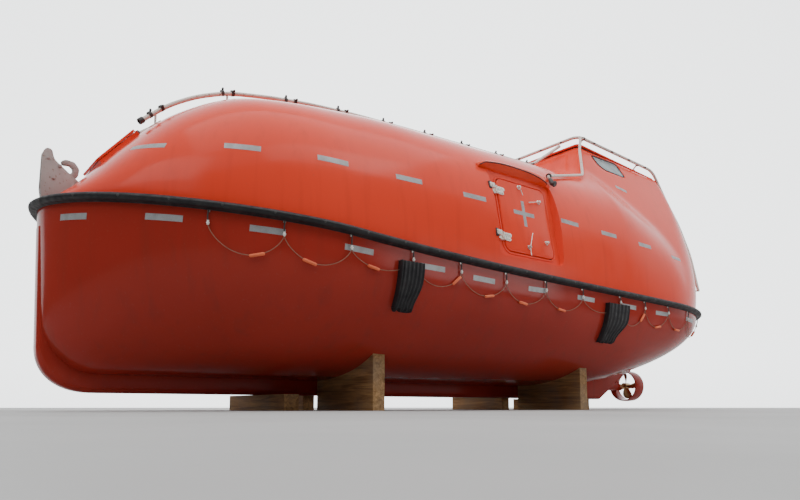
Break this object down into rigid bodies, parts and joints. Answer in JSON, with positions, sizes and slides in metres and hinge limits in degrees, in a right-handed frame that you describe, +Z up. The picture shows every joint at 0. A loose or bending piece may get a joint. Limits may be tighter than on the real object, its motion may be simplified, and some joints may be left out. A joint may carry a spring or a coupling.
{
  "type": "enclosed lifeboat",
  "caption": "Totally enclosed lifeboat with aft conning tower, side doors, hatches, steering nozzle and lifting hooks, standing on timber chocks.",
  "frame": {"origin": "on the ground below the middle of the hull", "axes": "+X to the bow, +Y to port, +Z up"},
  "size_m": [8.6376, 3.3366, 3.6189],
  "materials": {
    "hull_shell": "glossy orange-red glass-fibre laminate",
    "canopy_shell": "glossy orange-red glass-fibre laminate, sun-faded",
    "rubber": "matt black rubber",
    "stainless": "dulled stainless steel",
    "hook_steel": "weathered grey-tan paint on steel",
    "spray_pipe": "cream-white painted pipe",
    "window_glass": "clear acrylic, faintly green",
    "timber": "raw sawn softwood",
    "interior": "pale gelcoat",
    "engine_paint": "grey-green engine enamel",
    "propeller_bronze": "dull cast bronze"
  },
  "bodies": {
    "boat": {"hull": "hull_shell", "keel": "hull_shell", "canopy_bow": "canopy_shell", "canopy_middle": "canopy_shell", "conning_tower": "canopy_shell", "door_surround_port": "canopy_shell", "door_surround_starboard": "canopy_shell", "stern_recess": "canopy_shell", "fore_hatch_rim": "canopy_shell", "tower_side_window_port": "window_glass", "tower_side_window_starboard": "window_glass", "tower_front_window": "window_glass", "top_hatch_rim": "canopy_shell", "tower_roof": "canopy_shell", "top_hatch_hinge": "stainless", "fore_hatch_hinge": "stainless", "aft_hatch_hinge": "stainless", "door_hinge_upper_port": "stainless", "door_hinge_upper_starboard": "stainless", "door_hinge_lower_port": "stainless", "door_hinge_lower_starboard": "stainless", "fender": "rubber", "skid_fore_port": "rubber", "skid_fore_starboard": "rubber", "skid_aft_port": "rubber", "skid_aft_starboard": "rubber", "chock_fore_port": "timber", "chock_fore_starboard": "timber", "chock_aft_port": "timber", "chock_aft_starboard": "timber", "bearer_fore": "timber", "bearer_aft": "timber", "ridge_pipe_port": "spray_pipe", "ridge_pipe_starboard": "spray_pipe", "tower_hoop": "spray_pipe", "branch_pipe_port": "spray_pipe", "branch_pipe_starboard": "spray_pipe", "fore_hook_stand": "hook_steel", "aft_hook_stand": "hook_steel", "engine": "engine_paint", "floor": "interior", "bench_port": "interior", "bench_starboard": "interior", "helm_seat": "interior"},
    "side_door_port": {"side_door_port": "canopy_shell"},
    "side_door_starboard": {"side_door_starboard": "canopy_shell"},
    "top_hatch": {"top_hatch": "canopy_shell"},
    "fore_hatch": {"fore_hatch": "canopy_shell"},
    "aft_hatch": {"aft_hatch": "canopy_shell"},
    "propeller": {"propeller": "propeller_bronze"},
    "steering_nozzle": {"steering_nozzle": "hull_shell"},
    "fore_hook": {"fore_hook": "hook_steel"},
    "aft_hook": {"aft_hook": "hook_steel"}
  },
  "joints": [
    {"name": "side_door_port_hinge", "type": "hinge", "parent": "boat", "child": "side_door_port", "pos_m": [0.3635, 1.50319, 1.9839], "axis": [0, 0.1753, -0.9845], "range_deg": [0, 100]},
    {"name": "side_door_starboard_hinge", "type": "hinge", "parent": "boat", "child": "side_door_starboard", "pos_m": [0.3635, -1.50319, 1.9839], "axis": [0, 0.1753, 0.9845], "range_deg": [0, 100]},
    {"name": "top_hatch_hinge", "type": "hinge", "parent": "boat", "child": "top_hatch", "pos_m": [-2.51532, 0, 3.58866], "axis": [0, 1, 0], "range_deg": [0, 110]},
    {"name": "fore_hatch_hinge", "type": "hinge", "parent": "boat", "child": "fore_hatch", "pos_m": [3.56487, 0, 2.44871], "axis": [0, -1, 0], "range_deg": [0, 100]},
    {"name": "aft_hatch_hinge", "type": "hinge", "parent": "boat", "child": "aft_hatch", "pos_m": [-3.661, 0, 2.68], "axis": [0, 1, 0], "range_deg": [0, 90]},
    {"name": "propeller_spin", "type": "hinge", "parent": "boat", "child": "propeller", "pos_m": [-4, 0, 0.36], "axis": [1, 0, 0], "continuous": true},
    {"name": "nozzle_steer", "type": "hinge", "parent": "boat", "child": "steering_nozzle", "pos_m": [-4.01, 0, 0.36], "axis": [0, 0, 1], "range_deg": [-35, 35]},
    {"name": "fore_hook_pivot", "type": "hinge", "parent": "boat", "child": "fore_hook", "pos_m": [4.155, 0, 1.93], "axis": [0, 1, 0], "range_deg": [0, 60]},
    {"name": "aft_hook_pivot", "type": "hinge", "parent": "boat", "child": "aft_hook", "pos_m": [-3.98, 0, 1.95], "axis": [0, -1, 0], "range_deg": [0, 60]}
  ]
}
